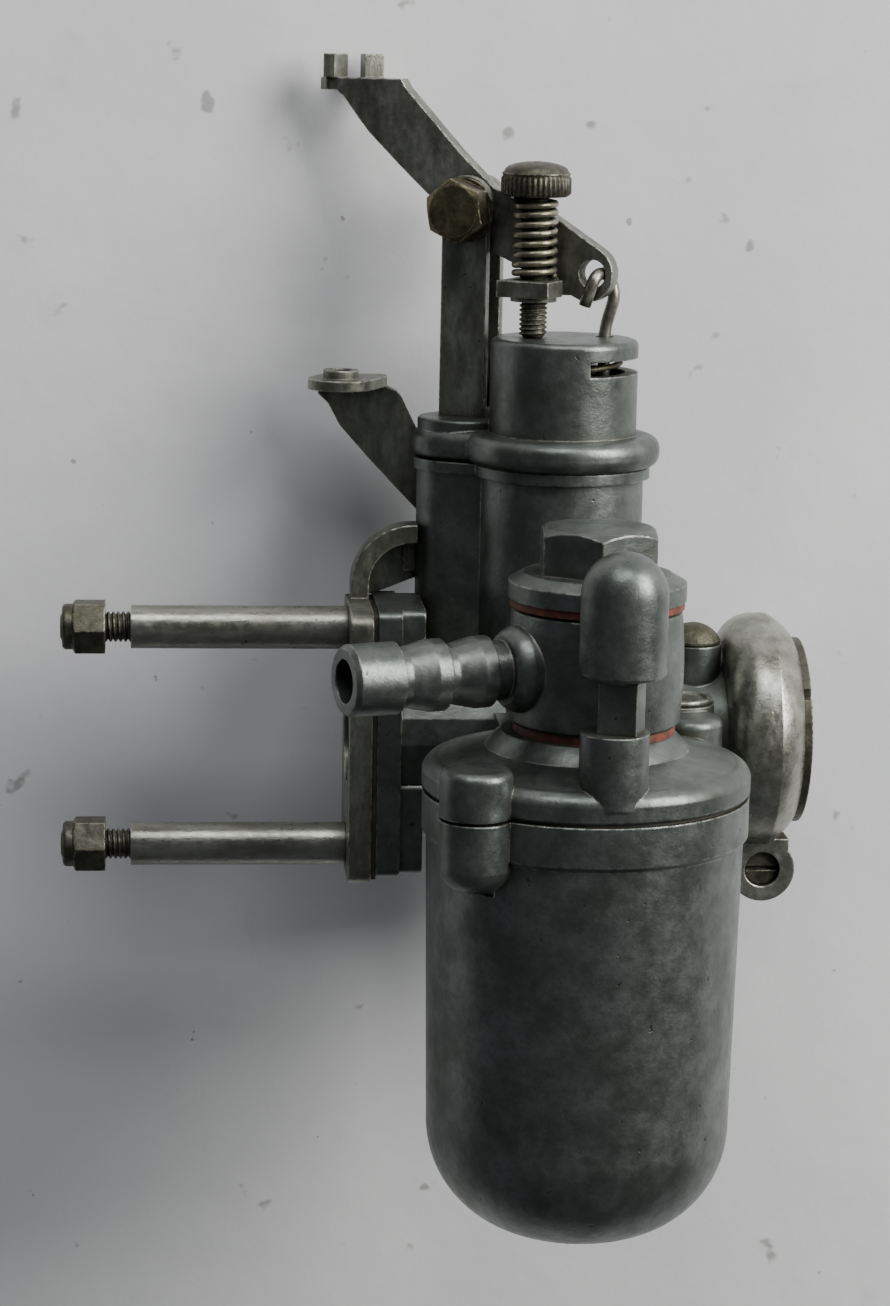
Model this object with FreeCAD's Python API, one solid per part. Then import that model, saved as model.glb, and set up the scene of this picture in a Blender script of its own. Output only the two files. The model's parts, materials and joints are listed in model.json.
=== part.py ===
import FreeCAD, Part
import math
import os

# A small slide carburettor with a side float chamber, for a moped or small stationary engine.
# Frame, in millimetres: the origin is midway between the two engine studs, on the plane of the
# outer ends of their spacer sleeves. +X points to the air intake, +Z up, and -Y to the float chamber.

os.makedirs("parts", exist_ok=True)

V = FreeCAD.Vector
X_AXIS = V(1, 0, 0)
Y_AXIS = V(0, 1, 0)
Z_AXIS = V(0, 0, 1)

# ---- driving dimensions: engine side ----
STUD_HALF_SPACING = 18.0
STUD_THREAD_R = 2.5
STUD_CORE_R = 2.1
STUD_FIT = 0.02
STUD_TIP_X = -11.3
STUD_END_X = 46.0
ENGINE_FLANGE_T = 4.1
NUT_FLATS = 8.0
NUT_HEX_H = 5.3
NUT_COLLAR_H = 1.6
SLEEVE_R = 3.5
SLEEVE_BORE_R = 2.6
SLEEVE_LENGTH = 35.0
PLATE_T = 3.6
PLATE_HALF_W = 11.0
PLATE_TOP_Z = 22.0
PLATE_BOTTOM_Z = -22.4
GASKET_T = 0.8
THROAT_R = 7.5

# ---- driving dimensions: cable stop bracket ----
STRAP_X = SLEEVE_LENGTH + 0.7
STRAP_T = 2.9
STRAP_FRONT_Y = 4.0
STRAP_BACK_Y = 9.0
STRAP_TOP_Z = 34.1
STRAP_BEND_R = 10.0
WEB_T = 2.0
CABLE_X = 34.0
CABLE_Y = 11.5
TONGUE_Z = 55.5
TONGUE_T = 1.7
CABLE_COLLAR_R = 2.9
CABLE_COLLAR_H = 1.4
CABLE_HOLE_R = 1.9
TONGUE_R = 5.4
ARM_FRONT_Y = 17.0
ARM_T = 2.0

# ---- driving dimensions: body casting ----
BARREL_X = 69.2
BARREL_R = 13.2
BARREL_BOTTOM_Z = -12.0
RIM_Z = 43.2
CAP_Z = 45.0
RIM_R = 14.2
LOBE_X = BARREL_X - 15.3
LOBE_Y = 8.0
LOBE_R = 7.5
FLANGE_X = SLEEVE_LENGTH + PLATE_T + GASKET_T
FLANGE_T = 3.8
STUD_BOSS_T = 7.6
FLANGE_TOP_Z = 22.3
FLANGE_BOTTOM_Z = -21.0
SPIGOT_R = 12.0
UPPER_PLUG_X = 91.2
UPPER_PLUG_Y = -2.5
UPPER_PLUG_R = 4.4
UPPER_BOSS_Z = 16.1
LOWER_PLUG_X = 87.4
LOWER_PLUG_Y = -13.5
LOWER_PLUG_R = 5.3
LOWER_BOSS_Z = 8.6
SPIGOT_END_X = 98.6
SLIDE_BORE_R = 11.05
SLIDE_FLOOR_Z = -8.2

# ---- driving dimensions: float chamber ----
BOWL_X = 69.3
BOWL_Y = -39.5
LID_Z = 0.9
BOWL_RIM_R = 24.9
BOWL_BAND_H = 6.5
BOWL_WALL_R = 24.2
BOWL_FOOT_R = 23.4
BOWL_BOTTOM_Z = -69.0
BOWL_ROUND_R = 17.0
BOWL_WALL = 1.8
LID_RIM_H = 4.5
LID_PAD_H = 8.9
LID_PAD_Z = LID_Z + LID_PAD_H
LUG_OFFSET = 18.5
LUG_R = 5.4
LUG_TOP_H = 7.2
LUG_FOOT_Z = -9.0
SEAL_T = 0.5
FLOAT_R = 20.3
FLOAT_TOP_Z = LID_Z - 11.5
FLOAT_BOTTOM_Z = LID_Z - 44.0
FLOAT_TRAVEL = 3.0
DIP_TUBE_Y = -19.4

# ---- driving dimensions: fuel union ----
UNION_X = 70.3
WASHER_T = 1.2
UNION_BASE_Z = LID_PAD_Z + WASHER_T
UNION_TOP_Z = 28.9
UNION_R = 13.4
BARB_ANGLE = 20.0
BARB_LENGTH = 41.3
BARB_Z = 20.0
BARB_CREST_R = 5.4
BARB_ROOT_R = 4.5
BARB_BORE_R = 3.3
BARB_PITCH = 7.5
BOLT_FLANGE_H = 3.9
BOLT_FLATS = 17.0
BOLT_TOP_Z = 40.9

# ---- driving dimensions: tickler ----
TICKLER_X = 71.6
TICKLER_Y = -59.8
TICKLER_STROKE = 3.0
TICKLER_CAP_R = 6.4
TICKLER_CAP_Z = 22.2
TICKLER_TOP_Z = 40.4
TICKLER_ROD_TIP_Z = FLOAT_TOP_Z + FLOAT_TRAVEL + TICKLER_STROKE + 0.4
NECK_TOP_Z = 30.6
NECK_HALF_W = 2.9
NECK_TURN = -20.0
TICKLER_BOSS_R = 5.1
TICKLER_BOSS_X = TICKLER_X - 0.9
TICKLER_BOSS_Z = 13.8

# ---- driving dimensions: cap and throttle control ----
CAP_RING_H = 5.0
CAP_RING_R = 15.7
HOUSING_R = 11.85
HOUSING_TOP_Z = 65.3
LOBE_TOP_Z = 51.6
SLOT_LOW_Z = 60.1
SLOT_HIGH_Z = 62.5
SLOT_FROM_AXIS = 2.8
PIVOT = V(BARREL_X - 14.1, 10.5, 85.0)
LEVER_TURN = 28.0
LEVER_T = 2.8
STRIP_T = 1.5
STRIP_W = 7.8
STRIP_PITCH = 6.0
STRIP_EYE_R = 4.5
LINK_HOLE_H = 21.3
LINK_HOLE_Z = -9.4
LINK_HOLE_R = 2.25
LINK_SWAY = 1.0
WIRE_R = 1.0
WIRE_H = 22.1
WIRE_N = -2.9
PIVOT_PIN_R = 2.0
PIVOT_HOLE_R = 2.05
SLIDE_R = 11.0
SLIDE_LIFT = 14.3
SLIDE_TOP_Z = 28.0
SLIDE_INSIDE_Z = 11.0
IDLE_H = 13.15
IDLE_N = 6.0
IDLE_THREAD_R = 2.25
IDLE_SPRING_H = 13.1
TAB_LOW_Z = 72.0
TAB_T = 2.6
TAB_HALF_W = 4.4
TAB_RELIEF = 2.15
FORK_Z = PIVOT.z + 20.4
FORK_GAP = 2.3
PRONG_W = 3.3
PRONG_T = 2.4
PRONG_H = 3.8

# ---- driving dimensions: air bell ----
BELL_AXIS_Z = 1.2
BELL_LEFT_X = 96.0
BELL_RIGHT_X = 107.8
BELL_R = 19.2
BELL_WALL = 1.6
CLAMP_X = 103.0
CLAMP_Z = -20.6
CLAMP_R = 5.3

# horizontal direction along the lever towards the link, and the one it faces
turn = math.radians(LEVER_TURN)
ALONG = V(math.cos(turn), -math.sin(turn), 0)
FACING = V(-math.sin(turn), -math.cos(turn), 0)


def cylinder(x, y, z, r, height, axis=Z_AXIS):
    return Part.makeCylinder(r, height, V(x, y, z), axis)


def ring(x, y, z, r_out, r_in, height, axis=Z_AXIS):
    return cylinder(x, y, z, r_out, height, axis).cut(cylinder(x, y, z, r_in, height, axis))


def box(x0, x1, y0, y1, z0, z1):
    return Part.makeBox(x1 - x0, y1 - y0, z1 - z0, V(x0, y0, z0))


def turned(profile, x, y, axis=Z_AXIS, start_z=0.0):
    """Solid of revolution. The profile holds (radius, height) points, and an item
    ("arc", middle, end) draws an arc from the point before it to its own end."""
    edges = []
    last = V(profile[0][0], 0, profile[0][1])
    first = last
    for item in profile[1:]:
        if item[0] == "arc":
            middle = V(item[1][0], 0, item[1][1])
            end = V(item[2][0], 0, item[2][1])
            edges.append(Part.Arc(last, middle, end).toShape())
        else:
            end = V(item[0], 0, item[1])
            edges.append(Part.LineSegment(last, end).toShape())
        last = end
    if (last - first).Length > 1e-6:
        edges.append(Part.LineSegment(last, first).toShape())
    solid = Part.Face(Part.Wire(edges)).revolve(V(0, 0, 0), Z_AXIS, 360)
    solid.Placement = FreeCAD.Placement(V(x, y, start_z), FreeCAD.Rotation(Z_AXIS, axis))
    return solid


def dome(r, z, rise):
    """Profile item for a spherical cap, from (r, z) on its edge to the axis."""
    sphere_r = (r * r + rise * rise) / (2 * rise)
    half_angle = math.asin(min(1.0, r / sphere_r)) / 2
    centre_z = z + rise - sphere_r
    middle = (sphere_r * math.sin(half_angle), centre_z + sphere_r * math.cos(half_angle))
    return ("arc", middle, (0, z + rise))


def prism(points, sweep):
    """Straight prism from a closed list of 3-D points."""
    return Part.Face(Part.makePolygon(points + [points[0]])).extrude(sweep)


def hexagon(centre, flats, height, axis=Z_AXIS, start_angle=0.0):
    corner = flats / 2 / math.cos(math.pi / 6)
    angles = [math.radians(60 * i + start_angle) for i in range(6)]
    points = [V(corner * math.cos(a), corner * math.sin(a), 0) for a in angles]
    solid = prism(points, V(0, 0, height))
    solid.Placement = FreeCAD.Placement(centre, FreeCAD.Rotation(Z_AXIS, axis))
    return solid


def chamfered_hexagon(centre, flats, height, axis=Z_AXIS, start_angle=0.0):
    """Hexagon head whose corners are turned off at its outer end."""
    corner = flats / 2 / math.cos(math.pi / 6)
    drop = (corner - flats / 2) * 0.8
    profile = [(0, 0), (corner + 1, 0), (corner + 1, height - drop - 0.6)]
    profile += [(flats / 2 - 0.4, height), (0, height)]
    cone = turned(profile, 0, 0)
    cone.Placement = FreeCAD.Placement(centre, FreeCAD.Rotation(Z_AXIS, axis))
    return hexagon(centre, flats, height, axis, start_angle).common(cone)


def stadium(x0, y0, x1, y1, r, z, height):
    """Flat bar with round ends, standing up from z."""
    along = V(x1 - x0, y1 - y0, 0)
    side = V(-along.y, along.x, 0).normalize() * r
    p0 = V(x0, y0, z)
    p1 = V(x1, y1, z)
    bar = prism([p0 + side, p0 - side, p1 - side, p1 + side], V(0, 0, height))
    return bar.fuse([cylinder(x0, y0, z, r, height), cylinder(x1, y1, z, r, height)])


def union(shapes):
    return shapes[0].fuse(shapes[1:]).removeSplitter()


def on_lever(h, n, z):
    """Point at h along the lever, n out of its face, and z above its pivot."""
    return PIVOT + ALONG * h + FACING * n + Z_AXIS * z


# the link wire stands behind the lever, in line with the hole it hooks through
WIRE = on_lever(WIRE_H, WIRE_N, 0)
WIRE_X = WIRE.x
WIRE_Y = WIRE.y


def save(shape, node):
    shape.exportStep("parts/" + node + ".step")


# ---- engine side ----

def stud_places():
    return (STUD_HALF_SPACING, -STUD_HALF_SPACING)


def studs():
    solids = []
    for z in stud_places():
        core = cylinder(STUD_TIP_X, 0, z, STUD_CORE_R, STUD_END_X - STUD_TIP_X, X_AXIS)
        thread = cylinder(-ENGINE_FLANGE_T, 0, z, STUD_THREAD_R, ENGINE_FLANGE_T, X_AXIS)
        solids.append(core.fuse(thread).removeSplitter())
    return Part.makeCompound(solids)


def spacer_sleeves():
    sleeves = [ring(0, 0, z, SLEEVE_R, SLEEVE_BORE_R, SLEEVE_LENGTH, X_AXIS) for z in stud_places()]
    return Part.makeCompound(sleeves)


def lock_nuts():
    """Hexagon nuts with a rounded collar that holds a nylon insert."""
    collar_r = 3.7
    insert_r = 2.9
    insert_h = 2.6
    solids = []
    for z in stud_places():
        seat = V(-ENGINE_FLANGE_T, 0, z)
        nut = chamfered_hexagon(seat, NUT_FLATS, NUT_HEX_H, -X_AXIS, 30)
        profile = [(0, 0), (collar_r, 0), (collar_r, 0.9), ("arc", (3.5, 1.4), (3.0, NUT_COLLAR_H))]
        profile += [(0, NUT_COLLAR_H)]
        collar = turned(profile, 0, 0)
        collar_base = seat - X_AXIS * NUT_HEX_H
        collar.Placement = FreeCAD.Placement(collar_base, FreeCAD.Rotation(Z_AXIS, -X_AXIS))
        nut = nut.fuse(collar)
        nut = nut.cut(cylinder(seat.x, 0, z, STUD_CORE_R + STUD_FIT, 20, -X_AXIS))
        insert_seat = cylinder(seat.x - 3.9, 0, z, insert_r, insert_h, -X_AXIS)
        solids.append(nut.cut(insert_seat))
    return Part.makeCompound(solids)


def nut_inserts():
    inserts = []
    for z in stud_places():
        start_x = -ENGINE_FLANGE_T - 4.0
        inserts.append(ring(start_x, 0, z, 2.85, STUD_CORE_R + STUD_FIT, 2.4, -X_AXIS))
    return Part.makeCompound(inserts)


def bracket_strap():
    """Narrow strap that rises from the flange plate, bends over and runs towards the barrel."""
    outer_x = STRAP_X + STRAP_T
    bend_z = STRAP_TOP_Z - STRAP_BEND_R
    width = STRAP_BACK_Y - STRAP_FRONT_Y
    centre_x = STRAP_X + STRAP_BEND_R
    rise = box(STRAP_X, outer_x, STRAP_FRONT_Y, STRAP_BACK_Y, PLATE_TOP_Z - 1.0, bend_z)
    hoop = ring(centre_x, STRAP_FRONT_Y, bend_z, STRAP_BEND_R, STRAP_BEND_R - STRAP_T, width, Y_AXIS)
    bend = hoop.common(box(STRAP_X, centre_x, STRAP_FRONT_Y, STRAP_BACK_Y, bend_z, STRAP_TOP_Z))
    run = box(centre_x, 46.4, STRAP_FRONT_Y, STRAP_BACK_Y, STRAP_TOP_Z - STRAP_T, STRAP_TOP_Z)
    return [rise, bend, run]


def bracket_web():
    """Web that stiffens the back edge of the strap's bend."""
    outline = [(STRAP_X + STRAP_T - 1.0, 21.8), (39.6, 22.1), (46.5, 24.8), (46.5, STRAP_TOP_Z - 1.0)]
    outline += [(44.0, STRAP_TOP_Z - 1.0), (STRAP_X + STRAP_T - 1.0, STRAP_TOP_Z - 6.0)]
    points = [V(x, STRAP_BACK_Y, z) for x, z in outline]
    return prism(points, V(0, WEB_T, 0))


def bracket_tail():
    """Slanting step that carries the strap's line round behind the barrel's boss."""
    low_z = 26.0
    high_z = 32.5
    across = V(-0.922, 0.386, 0) * WEB_T
    near = V(45.9, STRAP_BACK_Y, low_z)
    far = V(49.9, ARM_FRONT_Y + 1.6, low_z)
    step = prism([near, far, far + across, near + across], V(0, 0, high_z - low_z))
    root = box(44.4, 46.4, STRAP_BACK_Y - 1.0, STRAP_BACK_Y + WEB_T, low_z, high_z)
    tail = box(48.6, 62.0, ARM_FRONT_Y, ARM_FRONT_Y + ARM_T, low_z, high_z)
    return [step, root, tail]


def bracket_arm():
    """Arm rising towards the engine side, behind the cap, up to the cable's tongue."""
    upper = [(37.1, 57.2), (39.1, 57.0), (41.6, 55.5), (43.6, 54.6), (44.4, 53.6), (45.6, 51.1), (46.7, 48.9)]
    hidden = [(50.0, 42.0), (56.0, 36.0), (57.5, 29.0), (52.0, 29.5)]
    lower = [(46.9, 35.1), (44.4, 37.7), (39.3, 43.1), (34.2, 48.8), (32.2, 52.5), (30.6, 54.0), (30.6, 56.0)]
    points = [V(x, ARM_FRONT_Y, z) for x, z in upper + hidden + lower]
    return prism(points, V(0, ARM_T, 0))


def cable_stop_bracket():
    """Steel flange plate with a bent strap and an arm that holds the cable's end."""
    x0 = SLEEVE_LENGTH
    plate = box(x0, x0 + PLATE_T, -PLATE_HALF_W, PLATE_HALF_W, PLATE_BOTTOM_Z, PLATE_TOP_Z)
    corners = [e for e in plate.Edges if e.BoundBox.XLength > PLATE_T - 0.1]
    plate = plate.makeFillet(2.5, corners)
    tongue = stadium(CABLE_X, CABLE_Y, 36.5, ARM_FRONT_Y - 0.4, TONGUE_R, TONGUE_Z, TONGUE_T)
    tongue = tongue.cut(box(20, 60, ARM_FRONT_Y + ARM_T, 40, TONGUE_Z - 1, TONGUE_Z + 5))
    collar = cylinder(CABLE_X, CABLE_Y, TONGUE_Z + TONGUE_T, CABLE_COLLAR_R, CABLE_COLLAR_H)
    solid = union([plate, bracket_web(), bracket_arm(), tongue, collar] + bracket_strap() + bracket_tail())
    holes = [cylinder(x0 - 1, 0, z, SLEEVE_BORE_R + 0.1, PLATE_T + 2, X_AXIS) for z in stud_places()]
    holes.append(cylinder(x0 - 1, 0, 0, THROAT_R, PLATE_T + 2, X_AXIS))
    holes.append(cylinder(CABLE_X, CABLE_Y, TONGUE_Z - 1, CABLE_HOLE_R, 6.0))
    return solid.cut(Part.makeCompound(holes))


def flange_gasket():
    x0 = SLEEVE_LENGTH + PLATE_T
    half_w = PLATE_HALF_W - 0.5
    sheet = box(x0, x0 + GASKET_T, -half_w, half_w, FLANGE_BOTTOM_Z - 0.4, FLANGE_TOP_Z - 0.7)
    holes = [cylinder(x0, 0, z, SLEEVE_BORE_R + 0.2, GASKET_T, X_AXIS) for z in stud_places()]
    holes.append(cylinder(x0, 0, 0, THROAT_R + 0.2, GASKET_T, X_AXIS))
    return sheet.cut(Part.makeCompound(holes))


# ---- body casting ----

def barrel_outline(r_barrel, r_lobe, z, height):
    """The barrel with the boss for the lever bracket's screw on its engine side."""
    boss = stadium(LOBE_X, LOBE_Y, BARREL_X, 0, r_lobe, z, height)
    return union([cylinder(BARREL_X, 0, z, r_barrel, height), boss])


def flange_block():
    """Flange with a thicker boss round each stud."""
    flange_x1 = FLANGE_X + FLANGE_T
    boss_x1 = FLANGE_X + STUD_BOSS_T
    flange = box(FLANGE_X, flange_x1, -PLATE_HALF_W, PLATE_HALF_W, FLANGE_BOTTOM_Z, FLANGE_TOP_Z)
    upper_boss = box(FLANGE_X, boss_x1, -9.0, 9.0, 9.0, FLANGE_TOP_Z)
    lower_boss = box(FLANGE_X, boss_x1, -9.0, 9.0, FLANGE_BOTTOM_Z, -6.0)
    block = union([flange, upper_boss, lower_boss])
    long_edges = [e for e in block.Edges if e.BoundBox.XLength > 3 and e.BoundBox.YLength < 0.01]
    long_edges = [e for e in long_edges if e.BoundBox.ZLength < 0.01]
    return block.makeFillet(1.2, long_edges)


def throat_neck():
    """Rib-sided neck between the flange and the barrel."""
    outline = [(-8.5, 8.5), (-10.4, 5.0), (-10.9, 0.8), (-8.8, -6.0), (-4.0, -10.0)]
    outline += [(4.0, -10.0), (9.0, -6.0), (10.5, 0.0), (9.0, 6.0), (4.0, 10.0), (-4.0, 10.0)]
    neck_x = FLANGE_X + FLANGE_T - 0.5
    return prism([V(neck_x, y, z) for y, z in outline], V(60.0 - neck_x, 0, 0))


def body_casting():
    barrel = cylinder(BARREL_X, 0, BARREL_BOTTOM_Z, BARREL_R, RIM_Z - BARREL_BOTTOM_Z)
    boss = stadium(LOBE_X, LOBE_Y, BARREL_X, 0, LOBE_R, 12.0, RIM_Z - 12.0)
    rim = barrel_outline(RIM_R, LOBE_R + 0.5, RIM_Z, CAP_Z - RIM_Z)
    spigot = cylinder(BARREL_X, 0, 0, SPIGOT_R, SPIGOT_END_X - BARREL_X, X_AXIS)
    jet_boss = cylinder(BARREL_X, 0, -26.0, 6.5, 16.0)
    bridge = box(BARREL_X - 11, BARREL_X + 11, BOWL_Y + 16, -6.0, LID_Z, 6.0)
    plug_boss = cylinder(UPPER_PLUG_X, UPPER_PLUG_Y, 0, UPPER_PLUG_R + 0.2, UPPER_BOSS_Z)
    low_boss = cylinder(LOWER_PLUG_X, LOWER_PLUG_Y, LID_Z, LOWER_PLUG_R + 0.4, LOWER_BOSS_Z - LID_Z)
    shapes = [flange_block(), throat_neck(), barrel, boss, rim, spigot, jet_boss, bridge]
    solid = union(shapes + [plug_boss, low_boss, chamber_lid()])
    return solid.cut(Part.makeCompound(casting_bores()))


def chamber_lid():
    """The float chamber's lid, cast in one with the body."""
    rim = BOWL_RIM_R + 0.1
    profile = [(0, 0), (rim - 0.3, 0), (rim, 0.4), (rim, 2.6)]
    profile += [("arc", (rim - 0.75, 3.9), (rim - 2.4, LID_RIM_H))]
    profile += [(15.5, 6.4), ("arc", (14.6, 7.6), (13.2, LID_PAD_H)), (0, LID_PAD_H)]
    lid = turned(profile, BOWL_X, BOWL_Y, start_z=LID_Z)
    lug_profile = [(0, 0), (LUG_R, 0), (LUG_R, LUG_TOP_H - 1.5)]
    lug_profile += [("arc", (LUG_R - 0.4, LUG_TOP_H - 0.5), (LUG_R - 1.3, LUG_TOP_H - 0.1))]
    lug_profile += [(0, LUG_TOP_H)]
    lugs = []
    for x, y in lug_places():
        lugs.append(turned(lug_profile, x, y, start_z=LID_Z))
        inner_x = BOWL_X + (x - BOWL_X) * 0.7
        inner_y = BOWL_Y + (y - BOWL_Y) * 0.7
        lugs.append(stadium(x, y, inner_x, inner_y, LUG_R - 1.2, LID_Z, 3.6))
    boss_z = LID_Z + 2.0
    tickler_boss = cylinder(TICKLER_BOSS_X, TICKLER_Y, boss_z, TICKLER_BOSS_R, TICKLER_BOSS_Z - boss_z)
    seat_boss = cylinder(UNION_X, BOWL_Y, LID_Z - 3.0, 7.0, 4.0)
    return union([lid, tickler_boss, seat_boss] + lugs)


def lug_places():
    return ((BOWL_X - LUG_OFFSET, BOWL_Y - LUG_OFFSET), (BOWL_X + LUG_OFFSET, BOWL_Y + LUG_OFFSET))


def casting_bores():
    bores = [cylinder(BARREL_X, 0, SLIDE_FLOOR_Z, SLIDE_BORE_R, 60.0)]
    bores.append(cylinder(FLANGE_X - 1, 0, 0, THROAT_R, SPIGOT_END_X - FLANGE_X + 2, X_AXIS))
    stud_depth = STUD_END_X - FLANGE_X + 1.2
    bores += [cylinder(FLANGE_X - 1, 0, z, STUD_CORE_R + STUD_FIT, stud_depth, X_AXIS) for z in stud_places()]
    bores.append(cylinder(BARREL_X, 0, -27.0, 4.0, 20.0))
    bores.append(cylinder(UNION_X, BOWL_Y, LID_Z + 2.0, 5.0, LID_PAD_H))
    bores.append(cylinder(UNION_X, BOWL_Y, LID_Z - 4.0, 4.0, 6.5))
    bores += [cylinder(x, y, LID_Z - 1.0, 1.75, 6.0) for x, y in lug_places()]
    bores.append(cylinder(TICKLER_X, TICKLER_Y, LID_Z - 1.0, 2.6, 20.0))
    bores.append(cylinder(PIVOT.x, PIVOT.y, 34.0, 1.9, 20.0))
    bores.append(cylinder(BOWL_X, DIP_TUBE_Y, LID_Z - 1.0, 1.37, 4.5))
    bores.append(cylinder(UPPER_PLUG_X, UPPER_PLUG_Y, UPPER_BOSS_Z - 3.7, 3.05, 6.0))
    bores.append(cylinder(LOWER_PLUG_X, LOWER_PLUG_Y, LOWER_BOSS_Z - 2.1, 4.05, 6.0))
    return bores


def upper_core_plug():
    """Domed plug pressed into the top of the boss on the intake spigot."""
    z = UPPER_BOSS_Z
    r = UPPER_PLUG_R
    profile = [(0, z - 3.6), (3.03, z - 3.6), (3.03, z), (r - 0.25, z), (r, z + 0.3), (r, z + 0.7)]
    profile.append(dome(r, z + 0.7, 2.7))
    return turned(profile, UPPER_PLUG_X, UPPER_PLUG_Y)


def lower_core_plug():
    """Dished disc with a raised rim, on a short stem."""
    z = LOWER_BOSS_Z
    r = LOWER_PLUG_R
    profile = [(0, z - 2.0), (4.03, z - 2.0), (4.03, z), (r - 0.4, z), (r - 0.4, z + 0.25), (r, z + 0.35)]
    profile += [(r, z + 0.8), (r - 0.3, z + 0.95), (r - 0.8, z + 0.95), (r - 1.3, z + 0.5), (0, z + 0.5)]
    return turned(profile, LOWER_PLUG_X, LOWER_PLUG_Y)


# ---- float chamber ----

def bowl_inside():
    """The hollow of the bowl, open at its top."""
    foot_centre_r = BOWL_FOOT_R - BOWL_ROUND_R
    round_z = BOWL_BOTTOM_Z + BOWL_ROUND_R
    round_r = BOWL_ROUND_R - BOWL_WALL
    slope = math.sqrt(0.5)
    corner = (foot_centre_r + round_r * slope, round_z - round_r * slope)
    top_r = BOWL_WALL_R - BOWL_WALL
    profile = [(0, BOWL_BOTTOM_Z + BOWL_WALL), (foot_centre_r, BOWL_BOTTOM_Z + BOWL_WALL)]
    profile += [("arc", corner, (BOWL_FOOT_R - BOWL_WALL, round_z)), (top_r, -8.0)]
    profile += [(top_r, LID_Z + 1.0), (0, LID_Z + 1.0)]
    return turned(profile, BOWL_X, BOWL_Y)


def bowl_outside():
    """The bowl as a full body, with the band round its top."""
    foot_centre_r = BOWL_FOOT_R - BOWL_ROUND_R
    round_z = BOWL_BOTTOM_Z + BOWL_ROUND_R
    slope = math.sqrt(0.5)
    corner = (foot_centre_r + BOWL_ROUND_R * slope, round_z - BOWL_ROUND_R * slope)
    top_z = LID_Z - SEAL_T
    band_z = LID_Z - BOWL_BAND_H
    profile = [(0, BOWL_BOTTOM_Z), (foot_centre_r, BOWL_BOTTOM_Z), ("arc", corner, (BOWL_FOOT_R, round_z))]
    profile += [(BOWL_WALL_R, band_z - 0.8), (BOWL_RIM_R, band_z), (BOWL_RIM_R, top_z), (0, top_z)]
    return turned(profile, BOWL_X, BOWL_Y)


def float_bowl():
    top_z = LID_Z - SEAL_T
    profile = [(0, top_z), (LUG_R, top_z), (LUG_R - 0.2, LUG_FOOT_Z + 2.0)]
    profile += [("arc", (LUG_R - 1.2, LUG_FOOT_Z - 0.2), (LUG_R - 3.6, LUG_FOOT_Z - 1.6))]
    profile += [(0, LUG_FOOT_Z - 1.8)]
    lugs = [turned(profile, x, y) for x, y in lug_places()]
    solid = union([bowl_outside()] + lugs).cut(bowl_inside())
    screws = [cylinder(x, y, -9.0, 1.8, 10.0) for x, y in lug_places()]
    heads = [cylinder(x, y, -11.5, 2.95, 5.5) for x, y in lug_places()]
    return solid.cut(Part.makeCompound(screws + heads))


def bowl_gasket():
    return ring(BOWL_X, BOWL_Y, LID_Z - SEAL_T, BOWL_WALL_R, BOWL_WALL_R - BOWL_WALL, SEAL_T)


def bowl_screws():
    solids = []
    for x, y in lug_places():
        shank = cylinder(x, y, -6.0, 1.7, LID_Z + 10.4)
        head = cylinder(x, y, -8.4, 2.85, 2.4)
        slot = box(x - 4, x + 4, y - 0.4, y + 0.4, -9.0, -7.4)
        solids.append(union([shank, head]).cut(slot))
    return Part.makeCompound(solids)


def chamber_float():
    low = FLOAT_BOTTOM_Z
    profile = [(2.2, low), (FLOAT_R - 2.5, low), ("arc", (FLOAT_R - 0.75, low + 0.75), (FLOAT_R, low + 2.5))]
    profile += [(FLOAT_R, FLOAT_TOP_Z - 0.5), (FLOAT_R - 0.5, FLOAT_TOP_Z), (2.2, FLOAT_TOP_Z)]
    solid = turned(profile, UNION_X, BOWL_Y)
    return solid.cut(cylinder(BOWL_X, DIP_TUBE_Y, -60.0, 2.6, 60.0))


def float_needle():
    profile = [(0, -46.0), (1.0, -46.0), (1.0, -8.6), (1.6, -8.6), (1.6, -6.4), (0.5, -3.9), (0, -3.9)]
    return turned(profile, UNION_X, BOWL_Y, start_z=LID_Z)


def float_clip():
    """Spring plate that grips the needle and holds the float on it."""
    plate = ring(UNION_X, BOWL_Y, FLOAT_TOP_Z, 4.0, 1.02, 0.6)
    return plate.cut(box(UNION_X, UNION_X + 5, BOWL_Y - 0.5, BOWL_Y + 0.5, FLOAT_TOP_Z - 1, FLOAT_TOP_Z + 2))


def needle_seat():
    body = cylinder(UNION_X, BOWL_Y, LID_Z - 3.6, 3.95, 5.4)
    orifice = cylinder(UNION_X, BOWL_Y, LID_Z - 4.0, 0.9, 8.0)
    guide_profile = [(0, -4.0), (2.2, -4.0), (2.2, -2.6), (0.9, -0.2), (0, -0.2)]
    guide = turned(guide_profile, UNION_X, BOWL_Y, start_z=LID_Z)
    return body.cut(orifice.fuse(guide))


def dip_tube():
    low_z = -50.0
    return ring(BOWL_X, DIP_TUBE_Y, low_z, 1.35, 0.8, LID_Z + 3.0 - low_z)


# ---- fuel union ----

def barb_direction():
    angle = math.radians(BARB_ANGLE)
    return V(-math.cos(angle), -math.sin(angle), 0)


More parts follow.
